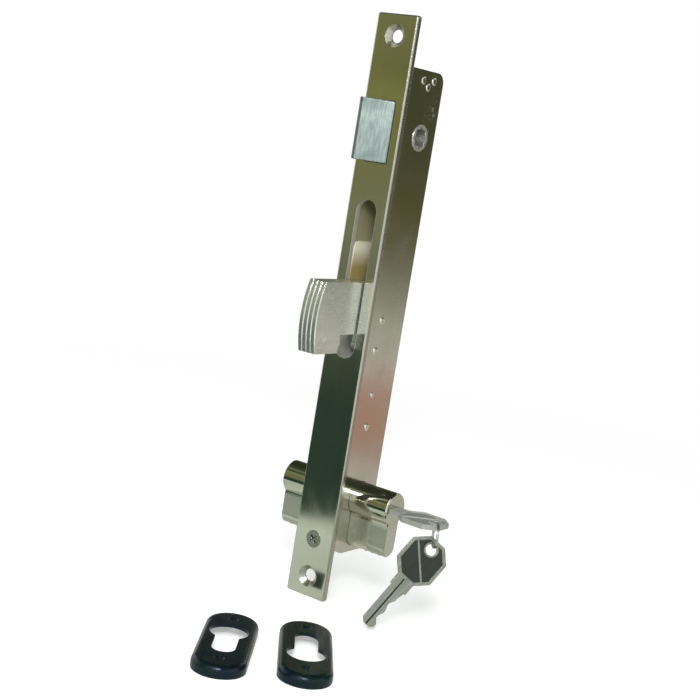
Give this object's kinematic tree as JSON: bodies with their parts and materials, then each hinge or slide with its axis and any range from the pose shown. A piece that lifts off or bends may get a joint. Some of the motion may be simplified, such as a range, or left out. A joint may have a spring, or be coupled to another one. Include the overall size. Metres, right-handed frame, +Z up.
{
  "type": "mortice lock",
  "caption": "Narrow-stile mortice lock with a swinging hook bolt, a bevelled latch, a profile cylinder, keys on a ring and loose black oval escutcheons.",
  "frame": {"origin": "middle of the faceplate's back face, half way between its two fixing screws", "axes": "+Z up along the faceplate, -Y out of its front face, +X to the right as seen from the front"},
  "size_m": [0.1102, 0.1564, 0.287],
  "materials": {
    "faceplate_nickel": "satin nickel plating",
    "case_nickel": "satin nickel-plated sheet",
    "bolt_steel": "ground steel plies",
    "latch_zinc": "plated die casting, brushed",
    "cylinder_nickel": "polished nickel plating",
    "key_nickel": "nickel-plated brass, worn satin",
    "dark_steel": "oiled bare steel",
    "spring_steel": "bare spring wire",
    "brass": "plain turned brass",
    "cast_zinc": "dull zinc casting",
    "black_cover": "semi-gloss black coating"
  },
  "bodies": {
    "lock": {"faceplate": "faceplate_nickel", "case_tray": "case_nickel", "case_cover": "case_nickel", "top_spacer": "dark_steel", "top_rivets": "dark_steel", "left_liner": "faceplate_nickel", "right_liner": "faceplate_nickel", "bolt_pivot_pin": "dark_steel", "bolt_stop_pin": "dark_steel", "lower_guide_pin": "dark_steel", "upper_guide_pin": "dark_steel", "detent_stud": "dark_steel", "detent_spring": "spring_steel", "latch_spring": "spring_steel", "latch_spring_rod": "dark_steel", "spring_bracket": "dark_steel", "bracket_rivets": "dark_steel", "latch_guide": "dark_steel", "cylinder_body": "cylinder_nickel", "cylinder_screw": "key_nickel", "plug_left": "cylinder_nickel", "plug_clip_left": "spring_steel", "driver_pins_right": "brass", "driver_pins_left": "brass", "key_pins_left": "brass", "pin_springs": "spring_steel", "chamber_caps": "brass", "escutcheon_right": "black_cover", "escutcheon_left": "black_cover"},
    "bolt": {"bolt_left_ply": "bolt_steel", "bolt_inner_left_ply": "bolt_steel", "bolt_inner_right_ply": "bolt_steel", "bolt_right_ply": "bolt_steel", "bolt_rivets": "bolt_steel", "bolt_bush": "brass"},
    "slider": {"drive_slider": "cast_zinc", "slider_pin": "dark_steel"},
    "plug": {"plug_right": "cylinder_nickel", "cylinder_cam": "dark_steel", "cylinder_coupler": "dark_steel", "plug_clip_right": "spring_steel", "key_pins_right": "brass", "lock_key": "key_nickel"},
    "hub": {"follower_hub": "cast_zinc"},
    "latch": {"latch_head": "latch_zinc", "latch_tail": "dark_steel", "latch_pin": "dark_steel"},
    "ring": {"key_ring": "key_nickel"},
    "spare": {"spare_key": "key_nickel"}
  },
  "joints": [
    {"name": "bolt_swing", "type": "hinge", "parent": "lock", "child": "bolt", "pos_m": [0, 0.0133, -0.002], "axis": [1, 0, 0], "range_deg": [-90, 0]},
    {"name": "slider_lift", "type": "slide", "parent": "lock", "child": "slider", "axis": [0, 0, 1], "range_m": [-0.017, 0], "deforming": ["detent_spring"]},
    {"name": "key_turn", "type": "hinge", "parent": "lock", "child": "plug", "pos_m": [0, 0.0186, -0.093], "axis": [1, 0, 0], "range_deg": [0, 90]},
    {"name": "handle_turn", "type": "hinge", "parent": "lock", "child": "hub", "pos_m": [0, 0.0198, 0.0883], "axis": [1, 0, 0], "range_deg": [0, 41]},
    {"name": "latch_slide", "type": "slide", "parent": "lock", "child": "latch", "axis": [0, 1, 0], "range_m": [0, 0.0105], "stiffness_N_per_m": 400, "springref_m": -0.008, "deforming": ["latch_spring"]},
    {"name": "ring_swing", "type": "hinge", "parent": "plug", "child": "ring", "pos_m": [0.05854, 0.01327, -0.09138], "axis": [0.6428, -0.766, 0], "range_deg": [-12, 12]},
    {"name": "spare_key_swing", "type": "hinge", "parent": "ring", "child": "spare", "pos_m": [0.05854, 0.01327, -0.10308], "axis": [0.6428, -0.766, 0], "range_deg": [-15, 60]}
  ],
  "couplings": [
    {"joint": "key_turn", "follows": "bolt_swing", "ratio": -1},
    {"joint": "slider_lift", "follows": "bolt_swing", "m_per_rad": 0.010823},
    {"joint": "handle_turn", "follows": "latch_slide", "rad_per_m": 68.15}
  ]
}
